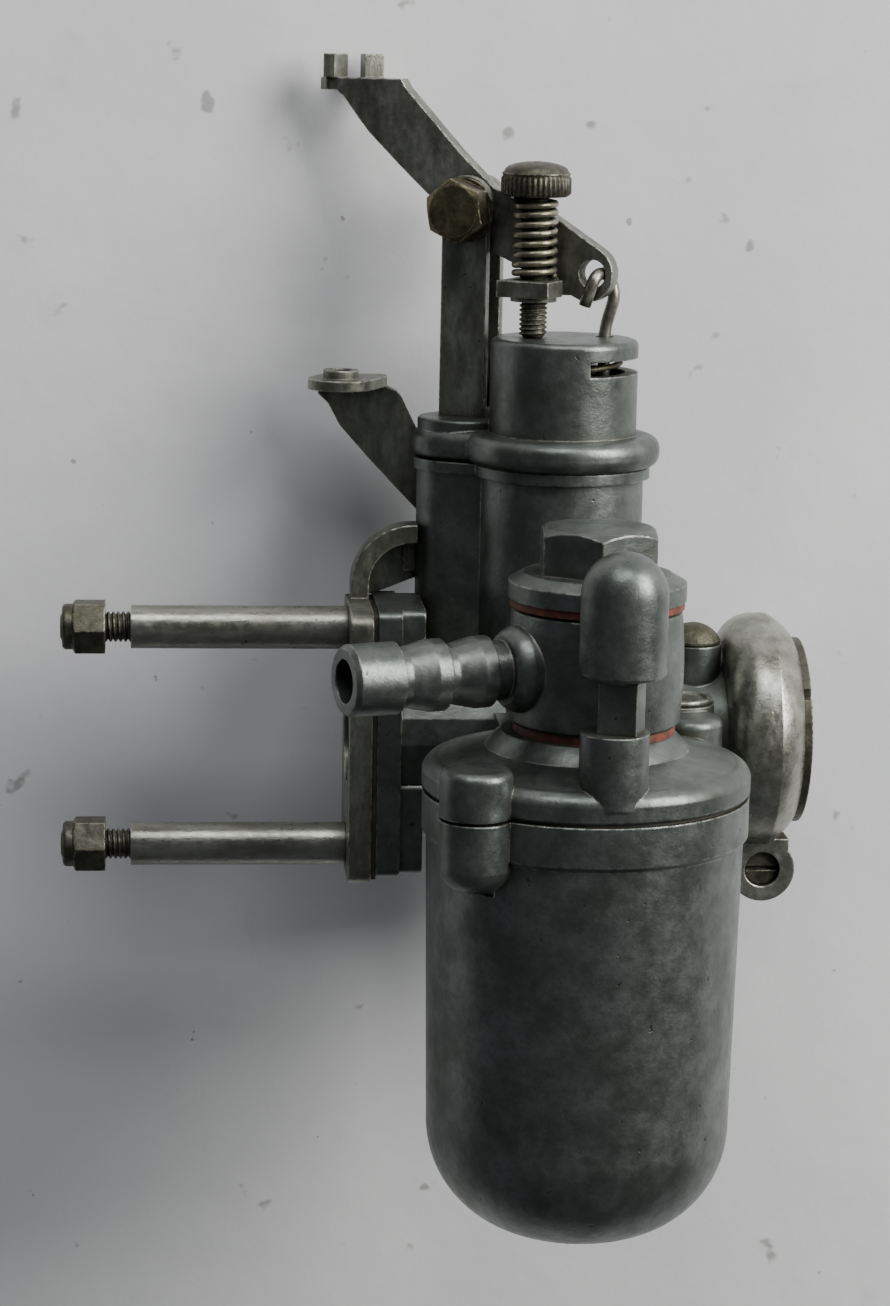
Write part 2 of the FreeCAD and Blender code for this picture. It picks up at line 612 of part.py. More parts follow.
def hose_stem():
    """Stem with three hose barbs, built along Z and laid along the barb's direction."""
    plain = 15.8
    stem = [(0, 0), (6.6, 0), (6.6, 13.2), ("arc", (6.3, 14.2), (5.2, 15.6)), (BARB_ROOT_R, plain)]
    for i in range(2):
        step = plain + 2.6 + i * BARB_PITCH
        stem += [(BARB_ROOT_R, step), (BARB_CREST_R, step + 0.01), (BARB_CREST_R, step + 2.2)]
        stem += [(BARB_ROOT_R, step + BARB_PITCH - 1.4)]
    last = plain + 2.6 + 2 * BARB_PITCH
    stem += [(BARB_ROOT_R, last - 0.2), (BARB_CREST_R, last), (BARB_CREST_R, BARB_LENGTH - 0.8)]
    stem += [(BARB_CREST_R - 0.6, BARB_LENGTH), (0, BARB_LENGTH)]
    solid = turned(stem, 0, 0)
    laid = FreeCAD.Rotation(Z_AXIS, barb_direction())
    solid.Placement = FreeCAD.Placement(V(UNION_X, BOWL_Y, BARB_Z), laid)
    return solid


def banjo_union():
    low = UNION_BASE_Z
    high = UNION_TOP_Z
    profile = [(0, low), (12.3, low), (12.9, low + 0.6)]
    profile += [("arc", (UNION_R, (low + high) / 2), (12.9, high - 0.6)), (12.3, high), (0, high)]
    solid = union([turned(profile, UNION_X, BOWL_Y), hose_stem()])
    bolt_hole = cylinder(UNION_X, BOWL_Y, low - 1, 5.2, 30.0)
    gallery = cylinder(UNION_X, BOWL_Y, low + 3.5, 9.0, 11.0)
    bore = cylinder(UNION_X, BOWL_Y, BARB_Z, BARB_BORE_R, BARB_LENGTH + 1, barb_direction())
    return solid.cut(Part.makeCompound([bolt_hole, gallery, bore]))


def fibre_washers():
    washers = []
    for z, r in ((LID_PAD_Z, 12.3), (UNION_TOP_Z, 13.2)):
        washers.append(ring(UNION_X, BOWL_Y, z, r, 5.2, WASHER_T))
    return Part.makeCompound(washers)


def banjo_bolt():
    seat = UNION_TOP_Z + WASHER_T
    top = seat + BOLT_FLANGE_H
    flange_r = 13.45
    profile = [(0, seat), (flange_r, seat), (flange_r, seat + 2.6), (flange_r - 2.2, top), (0, top)]
    flange = turned(profile, UNION_X, BOWL_Y)
    head_z = seat + 3.0
    head = chamfered_hexagon(V(UNION_X, BOWL_Y, head_z), BOLT_FLATS, BOLT_TOP_Z - head_z, Z_AXIS, 26.5)
    shank = cylinder(UNION_X, BOWL_Y, LID_Z + 3.0, 4.95, seat - LID_Z - 2.0)
    solid = union([flange, head, shank])
    feed = cylinder(UNION_X, BOWL_Y, LID_Z + 2.0, 2.0, 18.0)
    cross = cylinder(UNION_X - 8, BOWL_Y, BARB_Z, 1.5, 16, X_AXIS)
    return solid.cut(Part.makeCompound([feed, cross]))


def fuel_strainer():
    return ring(UNION_X, BOWL_Y, UNION_BASE_Z + 3.7, 7.6, 7.2, 10.6)


# ---- tickler ----

def tickler_neck():
    """Square guide screwed into the boss on the lid; its upper part is round, under the cap."""
    w = NECK_HALF_W
    post = Part.makeBox(2 * w, 2 * w, TICKLER_CAP_Z - 0.6 - TICKLER_BOSS_Z, V(-w, -w, 0))
    turned_square = FreeCAD.Rotation(Z_AXIS, NECK_TURN)
    post.Placement = FreeCAD.Placement(V(TICKLER_X, TICKLER_Y, TICKLER_BOSS_Z), turned_square)
    barrel = cylinder(TICKLER_X, TICKLER_Y, TICKLER_CAP_Z - 0.7, 3.4, NECK_TOP_Z - TICKLER_CAP_Z + 0.7)
    root = cylinder(TICKLER_X, TICKLER_Y, LID_Z + 3.1, 2.55, TICKLER_BOSS_Z - LID_Z - 3.0)
    solid = union([post, barrel, root])
    return solid.cut(cylinder(TICKLER_X, TICKLER_Y, 0, 1.25, 40.0))


def tickler_cap():
    r = TICKLER_CAP_R
    z = TICKLER_CAP_Z
    top = TICKLER_TOP_Z
    outside = [(0, z), (r - 0.3, z), (r, z + 0.5), (r, top - r), dome(r, top - r, r)]
    shell = turned(outside, TICKLER_X, TICKLER_Y)
    inside = [(0, z - 1), (5.0, z - 1), (5.0, top - 5.8), (4.0, top - 4.4), (0, top - 4.4)]
    hollow = turned(inside, TICKLER_X, TICKLER_Y)
    rod_seat = cylinder(TICKLER_X, TICKLER_Y, top - 6.4, 1.15, 3.8)
    return shell.cut(hollow).cut(rod_seat)


def tickler_rod():
    length = TICKLER_TOP_Z - 2.6 - TICKLER_ROD_TIP_Z
    return cylinder(TICKLER_X, TICKLER_Y, TICKLER_ROD_TIP_Z, 1.15, length)


def tickler_spring():
    low = NECK_TOP_Z + 0.1
    return ring(TICKLER_X, TICKLER_Y, low, 3.2, 2.4, TICKLER_TOP_Z - 4.5 - low)


# ---- throttle slide and jets ----

def throttle_slide():
    low = SLIDE_FLOOR_Z + 0.1
    solid = cylinder(BARREL_X, 0, low, SLIDE_R, SLIDE_TOP_Z - low)
    solid = solid.cut(cylinder(BARREL_X, 0, SLIDE_INSIDE_Z, SLIDE_R - 1.2, 30.0))
    # the cutaway on the intake side lets air in under the slide
    cutaway = [(2, SLIDE_FLOOR_Z - 1), (15, SLIDE_FLOOR_Z - 1), (15, -4.0)]
    cut_points = [V(BARREL_X + x, -15, z) for x, z in cutaway]
    solid = solid.cut(prism(cut_points, V(0, 30, 0)))
    holes = [cylinder(BARREL_X, 0, SLIDE_FLOOR_Z - 1, 1.3, 30.0)]
    holes.append(cylinder(WIRE_X, WIRE_Y, SLIDE_INSIDE_Z - 6.0, WIRE_R + 0.02, 8.0))
    return solid.cut(Part.makeCompound(holes))


def jet_needle():
    profile = [(0, -22.0), (0.5, -22.0), (1.25, -8.0), (1.25, 18.0), (0, 18.0)]
    return turned(profile, BARREL_X, 0)


def needle_clip():
    plate = ring(BARREL_X, 0, SLIDE_INSIDE_Z, 3.4, 1.27, 0.8)
    return plate.cut(box(BARREL_X - 6, BARREL_X, -0.8, 0.8, SLIDE_INSIDE_Z - 1, SLIDE_INSIDE_Z + 2))


def slide_spring():
    low = SLIDE_INSIDE_Z + 0.1
    return ring(BARREL_X, 0, low, 9.5, 8.5, 63.2 - low)


def needle_jet():
    body = cylinder(BARREL_X, 0, -20.0, 3.95, 11.7)
    return body.cut(cylinder(BARREL_X, 0, -21.0, 1.6, 14.0))


def main_jet():
    body = cylinder(BARREL_X, 0, -24.4, 3.0, 4.2)
    return body.cut(cylinder(BARREL_X, 0, -25.0, 1.2, 6.0))


def jet_plug():
    stem = ring(BARREL_X, 0, -27.2, 3.95, 3.1, 6.8)
    head = chamfered_hexagon(V(BARREL_X, 0, -27.2), 12.0, 4.4, -Z_AXIS, 0)
    return union([stem, head])


def plug_washer():
    return ring(BARREL_X, 0, -27.2, 6.4, 4.05, 1.15)


# ---- cap and throttle lever ----

def chamber_cap():
    ring_body = barrel_outline(CAP_RING_R, LOBE_R + 0.9, CAP_Z, CAP_RING_H)
    rims = [e for e in ring_body.Edges if e.BoundBox.ZLength < 0.01]
    ring_body = ring_body.makeFillet(2.1, rims)
    housing = cylinder(BARREL_X, 0, CAP_Z + 1, HOUSING_R, HOUSING_TOP_Z - CAP_Z - 1)
    top = [e for e in housing.Edges if e.BoundBox.ZMin > HOUSING_TOP_Z - 0.01]
    housing = housing.makeFillet(1.0, top)
    seat = cylinder(LOBE_X, LOBE_Y, CAP_Z + 1, LOBE_R, LOBE_TOP_Z - CAP_Z - 1)
    seat_top = [e for e in seat.Edges if e.BoundBox.ZMin > LOBE_TOP_Z - 0.01]
    seat = seat.makeFillet(0.5, seat_top)
    solid = union([ring_body, housing, seat])
    cavity = cylinder(BARREL_X, 0, CAP_Z - 1, 9.8, 63.3 - CAP_Z + 1)
    slot = box(BARREL_X + SLOT_FROM_AXIS, BARREL_X + 20, -20, 20, SLOT_LOW_Z, SLOT_HIGH_Z)
    link_hole = cylinder(WIRE_X, WIRE_Y, 60, WIRE_R + 0.5, 10)
    screw_hole = cylinder(PIVOT.x, PIVOT.y, CAP_Z - 1, 2.0, 10)
    return solid.cut(Part.makeCompound([cavity, slot, link_hole, screw_hole]))


def strip(n_centre, bottom_z):
    """One upright of the lever bracket, with a round eye at its top."""
    n_back = n_centre - STRIP_T / 2
    low = on_lever(0, n_back, bottom_z - PIVOT.z)
    side = ALONG * (STRIP_W / 2)
    up = V(0, 0, PIVOT.z - bottom_z + 1.0)
    upright = prism([low - side, low + side, low + side + up, low - side + up], FACING * STRIP_T)
    eye = Part.makeCylinder(STRIP_EYE_R, STRIP_T, on_lever(0, n_back, 1.0), FACING)
    return union([upright, eye])


def lever_bracket():
    foot_z = LOBE_TOP_Z
    half = STRIP_PITCH / 2
    front = strip(half, foot_z)
    back = strip(-half, foot_z)
    low = on_lever(0, -half - STRIP_T / 2, foot_z - PIVOT.z)
    side = ALONG * (STRIP_W / 2)
    deep = FACING * (STRIP_PITCH + STRIP_T)
    foot = prism([low - side, low + side, low + side + deep, low - side + deep], V(0, 0, 1.5))
    solid = union([front, back, foot])
    pin_hole = Part.makeCylinder(PIVOT_PIN_R + 0.02, 20, on_lever(0, -10, 0), FACING)
    screw_hole = cylinder(PIVOT.x, PIVOT.y, foot_z - 1, 1.9, 4)
    return solid.cut(Part.makeCompound([pin_hole, screw_hole]))


def lever_bracket_screw():
    head_z = LOBE_TOP_Z + 1.5
    head = cylinder(PIVOT.x, PIVOT.y, head_z, 2.15, 2.0)
    shank = cylinder(PIVOT.x, PIVOT.y, 36.0, 1.6, head_z - 35.8)
    slot = box(PIVOT.x - 4, PIVOT.x + 4, PIVOT.y - 0.4, PIVOT.y + 0.4, head_z + 1.1, head_z + 3)
    return union([head, shank]).cut(slot)


def pivot_bolt():
    outer = STRIP_PITCH / 2 + STRIP_T / 2
    head = chamfered_hexagon(on_lever(0, outer + 0.8, 0), 9.0, 4.2, FACING, 10)
    flange = Part.makeCylinder(5.2, 0.8, on_lever(0, outer, 0), FACING)
    shank = Part.makeCylinder(PIVOT_PIN_R, 2 * outer + 5.2, on_lever(0, -outer - 5.0, 0), FACING)
    return union([head, flange, shank])


def pivot_nut():
    outer = STRIP_PITCH / 2 + STRIP_T / 2
    nut = chamfered_hexagon(on_lever(0, -outer, 0), 7.0, 3.4, FACING * -1, 30)
    hole = Part.makeCylinder(PIVOT_PIN_R + 0.02, 6, on_lever(0, -outer + 1, 0), FACING * -1)
    return nut.cut(hole)


def pivot_washers():
    gap = (STRIP_PITCH - STRIP_T - LEVER_T) / 2
    thick = gap - 0.1
    solids = []
    for side in (-1, 1):
        inner = side * (STRIP_PITCH - STRIP_T) / 2
        start = on_lever(0, inner, 0)
        direction = FACING * -side
        washer = Part.makeCylinder(4.0, thick, start, direction)
        solids.append(washer.cut(Part.makeCylinder(PIVOT_HOLE_R, thick, start, direction)))
    return Part.makeCompound(solids)


def lever_outline():
    """The lever's top and bottom edges as (along, up) from its pivot, both running to the link."""
    top = [(-26.0, 20.4), (-12.6, 20.4), (-11.7, 19.0), (-1.9, 8.9), (4.0, 3.6), (14.2, -0.4), (22.6, -5.6)]
    bottom = [(-25.3, 19.4), (-22.6, 17.2), (-20.2, 14.1), (-18.0, 11.6), (-12.6, 6.6), (-7.7, 2.3)]
    bottom += [(1.0, -5.4), (7.45, -8.2), (14.6, -11.4), (18.4, -13.3), (19.9, -14.0)]
    return top, bottom


def lever_blade():
    n_back = -LEVER_T / 2
    top, bottom = lever_outline()
    top_points = [on_lever(h, n_back, z) for h, z in top]
    bottom_points = [on_lever(h, n_back, z) for h, z in reversed(bottom)]
    edges = [Part.LineSegment(a, b).toShape() for a, b in zip(top_points, top_points[1:])]
    nose = on_lever(LINK_HOLE_H + 3.4, n_back, LINK_HOLE_Z + 0.2)
    edges.append(Part.Arc(top_points[-1], nose, bottom_points[0]).toShape())
    way_back = bottom_points + [top_points[0]]
    edges += [Part.LineSegment(a, b).toShape() for a, b in zip(way_back, way_back[1:])]
    return Part.Face(Part.Wire(edges)).extrude(FACING * LEVER_T)


def throttle_lever():
    """Cranked flat lever: fork for the cable at one end, link hole at the other, tab between."""
    solid = union([lever_blade(), fork(), idle_tab()])
    holes = [Part.makeCylinder(PIVOT_HOLE_R, 20, on_lever(0, -10, 0), FACING)]
    holes.append(Part.makeCylinder(LINK_HOLE_R, 20, on_lever(LINK_HOLE_H, -10, LINK_HOLE_Z), FACING))
    tab_centre = on_lever(IDLE_H, IDLE_N, 0)
    holes.append(cylinder(tab_centre.x, tab_centre.y, TAB_LOW_Z - 2, IDLE_THREAD_R + 0.05, 8))
    return solid.cut(Part.makeCompound(holes))


def level_block(centre, angle, width, depth, height):
    """Upright block standing on centre, turned by angle about Z."""
    wide = V(math.cos(math.radians(angle)), math.sin(math.radians(angle)), 0)
    deep = V(-wide.y, wide.x, 0)
    corner = centre - wide * (width / 2) - deep * (depth / 2)
    return prism([corner, corner + wide * width, corner + wide * width + deep * depth, corner + deep * depth],
                 V(0, 0, height))


def fork():
    """Level tongue at the lever's upper end with two upturned prongs that hold the cable nipple."""
    centre = on_lever(-22.2, -2.6, FORK_Z - PIVOT.z)
    wide = V(math.cos(math.radians(20)), math.sin(math.radians(20)), 0)
    deep = V(-wide.y, wide.x, 0)
    left_middle = centre - wide * 3.9
    right_middle = centre + wide * 2.6
    prongs = [level_block(left_middle, 45, PRONG_W, PRONG_T, PRONG_H)]
    prongs.append(level_block(right_middle, 15, PRONG_W, PRONG_T, PRONG_H))
    left = centre - wide * 6.0 + deep * 1.2
    left_end = centre - wide * 6.0 - deep * 1.0
    right = centre + wide * 4.5 + deep * 1.2
    front_right = on_lever(-12.6, LEVER_T / 2, FORK_Z - PIVOT.z)
    front_left = on_lever(-26.0, LEVER_T / 2, FORK_Z - PIVOT.z)
    base = prism([left, left_end, front_left, front_right, right], V(0, 0, -2.0))
    gap_middle = centre - wide * 0.55 + deep * 1.0 - V(0, 0, 4)
    gap = level_block(gap_middle, 20, FORK_GAP, 5.2, 12)
    return union([base] + prongs).cut(gap)


def idle_tab():
    """Tab bent out of the lever towards its front, with a collar for the idle screw's thread.

    Its edge beside the link is relieved, so that the wire's hooked end passes it when the lever swings.
    """
    left = IDLE_H - TAB_HALF_W
    right = IDLE_H + TAB_HALF_W
    n_face = LEVER_T / 2
    outline = [(left, -n_face), (right, -n_face), (right, n_face), (right - TAB_RELIEF, n_face)]
    outline += [(right - TAB_RELIEF, 3.9), (right, 4.7), (right, IDLE_N + 5.0), (left, IDLE_N + 5.0)]
    plate = prism([on_lever(h, n, TAB_LOW_Z - PIVOT.z) for h, n in outline], V(0, 0, TAB_T))
    centre = on_lever(IDLE_H, IDLE_N, 0)
    collar = cylinder(centre.x, centre.y, TAB_LOW_Z - 0.8, 3.7, 1.0)
    return union([plate, collar])


def idle_screw():
    centre = on_lever(IDLE_H, IDLE_N, 0)
    head_z = TAB_LOW_Z + TAB_T + IDLE_SPRING_H + 0.1
    profile = [(0, 0), (5.1, 0), (5.6, 0.4), (5.6, 3.5), (5.1, 4.0), dome(5.1, 4.0, 1.5)]
    knob = turned(profile, centre.x, centre.y, start_z=head_z)
    slot = box(centre.x - 6, centre.x + 6, centre.y - 0.5, centre.y + 0.5, head_z + 4.6, head_z + 6)
    low = HOUSING_TOP_Z + 0.05
    stem = cylinder(centre.x, centre.y, low, IDLE_THREAD_R, head_z + 0.5 - low)
    return union([knob.cut(slot), stem])


def idle_spring():
    centre = on_lever(IDLE_H, IDLE_N, 0)
    low = TAB_LOW_Z + TAB_T + 0.05
    return ring(centre.x, centre.y, low, 3.7, 2.55, IDLE_SPRING_H)


def link_wire():
    """Wire from the slide's floor, up through the cap and hooked forward through the lever."""
    eye_h = LINK_HOLE_H + LINK_SWAY
    front_n = LEVER_T / 2 + WIRE_R + 0.15
    route = [V(WIRE_X, WIRE_Y, 6.0), V(WIRE_X, WIRE_Y, HOUSING_TOP_Z + 1.4)]
    route.append(on_lever(eye_h + 1.5, WIRE_N, LINK_HOLE_Z - 3.4))
    route.append(on_lever(eye_h, WIRE_N, LINK_HOLE_Z))
    route.append(on_lever(eye_h, front_n, LINK_HOLE_Z))
    route.append(on_lever(eye_h - 1.7, front_n + 0.05, LINK_HOLE_Z - 5.0))
    pieces = []
    for a, b in zip(route, route[1:]):
        run = b - a
        pieces.append(Part.makeCylinder(WIRE_R, run.Length, a, run))
    pieces += [Part.makeSphere(WIRE_R, p) for p in route[1:-1]]
    return union(pieces)


# ---- air bell ----

def bell_turned(profile):
    """Solid of revolution about the bell's axis, with heights measured along X."""
    solid = turned(profile, 0, 0)
    solid.Placement = FreeCAD.Placement(V(0, 0, BELL_AXIS_Z), FreeCAD.Rotation(Z_AXIS, X_AXIS))
    return solid


def air_bell():
    """Round air horn with rolled edges, clamped on the intake spigot by its slit ear."""
    left = BELL_LEFT_X
    right = BELL_RIGHT_X
    r = BELL_R
    in_r = r - BELL_WALL
    outside = [(0, left), (14.0, left), ("arc", (17.6, left + 1.7), (r, left + 5.6)), (r, left + 7.6)]
    outside += [("arc", (18.1, right - 2.4), (15.4, right)), (0, right)]
    inside = [(0, left + BELL_WALL), (14.0, left + BELL_WALL)]
    inside += [("arc", (16.4, left + 2.8), (in_r, left + 5.6)), (in_r, left + 7.6)]
    inside += [("arc", (16.6, right - 2.6), (14.2, right - 1.2))]
    inside += [(14.2, right + 1), (0, right + 1)]
    hollow = bell_turned(inside)
    shell = bell_turned(outside).cut(hollow)
    collar = cylinder(left, 0, 0, SPIGOT_R + 2.0, 3.2, X_AXIS)
    ear = cylinder(CLAMP_X, -8.0, CLAMP_Z, CLAMP_R, 16.0, Y_AXIS)
    ear_web = box(CLAMP_X - 5.2, CLAMP_X + 4.2, -8.0, 8.0, CLAMP_Z, -15.5)
    solid = union([shell, collar, ear, ear_web])
    solid = solid.cut(cylinder(left - 1, 0, 0, SPIGOT_R + 0.02, 4.4, X_AXIS))
    solid = solid.cut(hollow)
    slit = box(left - 1, right + 1, -0.6, 0.6, -30, -12.1)
    head_pocket = cylinder(CLAMP_X, -9.0, CLAMP_Z, 2.9, 4.0, Y_AXIS)
    screw_hole = cylinder(CLAMP_X, -9.0, CLAMP_Z, 2.05, 18.0, Y_AXIS)
    return solid.cut(Part.makeCompound([slit, head_pocket, screw_hole]))


def bell_clamp_screw():
    head = cylinder(CLAMP_X, -7.0, CLAMP_Z, 2.75, 1.9, Y_AXIS)
    shank = cylinder(CLAMP_X, -5.1, CLAMP_Z, 2.0, 12.8, Y_AXIS)
    slot = box(CLAMP_X - 3, CLAMP_X + 3, -8, -6.3, CLAMP_Z - 0.35, CLAMP_Z + 0.35)
    return union([head, shank]).cut(slot)


def filter_gauze():
    return cylinder(BELL_RIGHT_X - 1.0, 0, BELL_AXIS_Z, 14.0, 0.6, X_AXIS)


def gauze_snap_ring():
    """Open spring ring in the mouth of the bell; its gap is on the side towards the chamber."""
    hoop = ring(BELL_RIGHT_X + 0.02, 0, BELL_AXIS_Z, 15.2, 13.2, 1.3, X_AXIS)
    gap = Part.makeBox(4, 5, 1.6, V(BELL_RIGHT_X - 1, -17.0, BELL_AXIS_Z + 7.6))
    return hoop.cut(gap)


def build():
    nodes = {
        "engine_studs": studs,
        "spacer_sleeves": spacer_sleeves,
        "lock_nuts": lock_nuts,
        "lock_nut_inserts": nut_inserts,
        "cable_stop_bracket": cable_stop_bracket,
        "flange_gasket": flange_gasket,
        "body_casting": body_casting,
        "upper_core_plug": upper_core_plug,
        "lower_core_plug": lower_core_plug,
        "float_bowl": float_bowl,
        "bowl_gasket": bowl_gasket,
        "bowl_screws": bowl_screws,
        "chamber_float": chamber_float,
        "float_needle": float_needle,
        "float_clip": float_clip,
        "needle_seat": needle_seat,
        "dip_tube": dip_tube,
        "banjo_union": banjo_union,
        "fibre_washers": fibre_washers,
        "banjo_bolt": banjo_bolt,
        "fuel_strainer": fuel_strainer,
        "tickler_neck": tickler_neck,
        "tickler_cap": tickler_cap,
        "tickler_rod": tickler_rod,
        "tickler_spring": tickler_spring,
        "throttle_slide": throttle_slide,
        "jet_needle": jet_needle,
        "needle_clip": needle_clip,
        "slide_spring": slide_spring,
        "needle_jet": needle_jet,
        "main_jet": main_jet,
        "jet_plug": jet_plug,
        "jet_plug_washer": plug_washer,
        "slide_chamber_cap": chamber_cap,
        "lever_bracket": lever_bracket,
        "lever_bracket_screw": lever_bracket_screw,
        "pivot_bolt": pivot_bolt,
        "pivot_nut": pivot_nut,
        "pivot_washers": pivot_washers,
        "throttle_lever": throttle_lever,
        "idle_screw": idle_screw,
        "idle_screw_spring": idle_spring,
        "link_wire": link_wire,
        "air_bell": air_bell,
        "bell_clamp_screw": bell_clamp_screw,
        "filter_gauze": filter_gauze,
        "gauze_snap_ring": gauze_snap_ring,
    }
    for name, make in nodes.items():
        save(make(), name)


build()
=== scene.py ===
import json
import math

import bmesh
import bpy
from mathutils import Matrix, Vector


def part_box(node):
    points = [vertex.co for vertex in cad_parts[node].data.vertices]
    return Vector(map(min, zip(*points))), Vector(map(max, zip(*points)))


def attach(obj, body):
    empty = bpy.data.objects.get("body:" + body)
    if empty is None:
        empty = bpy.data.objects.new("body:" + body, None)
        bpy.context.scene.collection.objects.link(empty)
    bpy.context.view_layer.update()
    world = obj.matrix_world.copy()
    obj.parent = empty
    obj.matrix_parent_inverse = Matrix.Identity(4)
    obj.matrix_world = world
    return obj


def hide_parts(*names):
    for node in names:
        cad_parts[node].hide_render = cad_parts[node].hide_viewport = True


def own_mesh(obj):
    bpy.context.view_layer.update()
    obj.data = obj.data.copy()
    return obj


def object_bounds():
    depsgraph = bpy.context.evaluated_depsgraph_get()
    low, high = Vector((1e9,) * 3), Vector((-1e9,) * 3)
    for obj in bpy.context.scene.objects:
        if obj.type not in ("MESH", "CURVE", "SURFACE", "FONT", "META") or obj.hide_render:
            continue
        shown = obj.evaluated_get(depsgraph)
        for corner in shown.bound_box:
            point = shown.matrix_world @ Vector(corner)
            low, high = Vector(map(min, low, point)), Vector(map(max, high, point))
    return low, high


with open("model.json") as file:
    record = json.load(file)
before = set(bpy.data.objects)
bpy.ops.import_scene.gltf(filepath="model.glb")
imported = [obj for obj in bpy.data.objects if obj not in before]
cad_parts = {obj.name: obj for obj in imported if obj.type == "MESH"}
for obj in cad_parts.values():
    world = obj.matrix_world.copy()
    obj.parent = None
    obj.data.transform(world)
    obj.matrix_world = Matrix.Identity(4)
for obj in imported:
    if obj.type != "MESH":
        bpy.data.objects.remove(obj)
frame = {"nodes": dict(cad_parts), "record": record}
cad_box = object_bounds()

# ---- the view ----
VIEW_TARGET = Vector((0.0509, 0.0, 0.0138))
VIEW_AZIMUTH = math.radians(-5.0)
VIEW_ELEVATION = math.radians(11.0)
VIEW_DISTANCE = 0.537
VIEW_ROLL = math.radians(1.1)
LENS_LENGTH = 90.965
SENSOR = 36.0


def view_axes():
    """Right, forward and up directions of the level camera."""
    right = Vector((math.cos(VIEW_AZIMUTH), math.sin(VIEW_AZIMUTH), 0))
    level = Vector((-math.sin(VIEW_AZIMUTH), math.cos(VIEW_AZIMUTH), 0))
    forward = level * math.cos(VIEW_ELEVATION) - Vector((0, 0, math.sin(VIEW_ELEVATION)))
    return right, forward, right.cross(forward)


def make_camera():
    right, forward, up = view_axes()
    tilted_right = right * math.cos(VIEW_ROLL) + up * math.sin(VIEW_ROLL)
    tilted_up = up * math.cos(VIEW_ROLL) - right * math.sin(VIEW_ROLL)
    data = bpy.data.cameras.new("camera")
    data.lens = LENS_LENGTH
    data.sensor_width = SENSOR
    data.clip_start = 0.01
    camera = bpy.data.objects.new("camera", data)
    turn = Matrix((tilted_right, tilted_up, -forward)).transposed().to_4x4()
    camera.matrix_world = Matrix.Translation(VIEW_TARGET - forward * VIEW_DISTANCE) @ turn
    bpy.context.scene.collection.objects.link(camera)
    bpy.context.scene.camera = camera


make_camera()


# ---- material nodes ----
class Nodes:
    """Short way to add and join shader nodes."""

    def __init__(self, name):
        self.material = bpy.data.materials.new(name)
        self.material.use_nodes = True
        self.tree = self.material.node_tree
        self.shader = self.tree.nodes["Principled BSDF"]
        place = self.add("ShaderNodeTexCoord")
        self.place = place.outputs["Object"]

    def add(self, kind, **settings):
        node = self.tree.nodes.new(kind)
        for key, value in settings.items():
            setattr(node, key, value)
        return node

    def put(self, socket, value):
        if isinstance(value, bpy.types.NodeSocket):
            self.tree.links.new(value, socket)
        else:
            socket.default_value = value

    def noise(self, scale, detail=4.0, roughness=0.55, stretch=None):
        node = self.add("ShaderNodeTexNoise")
        place = self.place
        if stretch:
            mapping = self.add("ShaderNodeMapping")
            self.put(mapping.inputs["Vector"], self.place)
            mapping.inputs["Scale"].default_value = stretch
            place = mapping.outputs["Vector"]
        self.put(node.inputs["Vector"], place)
        node.inputs["Scale"].default_value = scale
        node.inputs["Detail"].default_value = detail
        node.inputs["Roughness"].default_value = roughness
        return node.outputs["Fac"]

    def ramp(self, value, low, high, to_low=0.0, to_high=1.0):
        node = self.add("ShaderNodeMapRange", interpolation_type="SMOOTHSTEP")
        self.put(node.inputs["Value"], value)
        node.inputs["From Min"].default_value = low
        node.inputs["From Max"].default_value = high
        node.inputs["To Min"].default_value = to_low
        node.inputs["To Max"].default_value = to_high
        return node.outputs["Result"]

    def maths(self, operation, a, b=0.0):
        node = self.add("ShaderNodeMath", operation=operation, use_clamp=operation != "MULTIPLY_ADD")
        self.put(node.inputs[0], a)
        self.put(node.inputs[1], b)
        return node.outputs[0]

    def mix(self, amount, a, b):
        node = self.add("ShaderNodeMix", data_type="RGBA")
        self.put(node.inputs["Factor"], amount)
        self.put(node.inputs["A"], a)
        self.put(node.inputs["B"], b)
        return node.outputs["Result"]

    def edges(self, radius):
        """1 on sharp outer edges, 0 on open faces."""
        bevel = self.add("ShaderNodeBevel", samples=4)
        bevel.inputs["Radius"].default_value = radius
        geometry = self.add("ShaderNodeNewGeometry")
        dot = self.add("ShaderNodeVectorMath", operation="DOT_PRODUCT")
        self.put(dot.inputs[0], bevel.outputs["Normal"])
        self.put(dot.inputs[1], geometry.outputs["Normal"])
        return self.ramp(dot.outputs["Value"], 0.995, 0.90)

    def crevices(self, distance):
        # ambient occlusion mask of the crevices, used to paint shade into the colour
        node = self.add("ShaderNodeAmbientOcclusion", samples=6)
        node.inputs["Distance"].default_value = distance
        return self.ramp(node.outputs["AO"], 0.85, 0.35)

    def bump(self, height, strength, distance, normal=None):
        node = self.add("ShaderNodeBump")
        node.inputs["Strength"].default_value = strength
        node.inputs["Distance"].default_value = distance
        self.put(node.inputs["Height"], height)
        if normal is not None:
            self.put(node.inputs["Normal"], normal)
        return node.outputs["Normal"]


def colour(r, g, b):
    return (r, g, b, 1.0)


STAIN = colour(0.075, 0.072, 0.040)


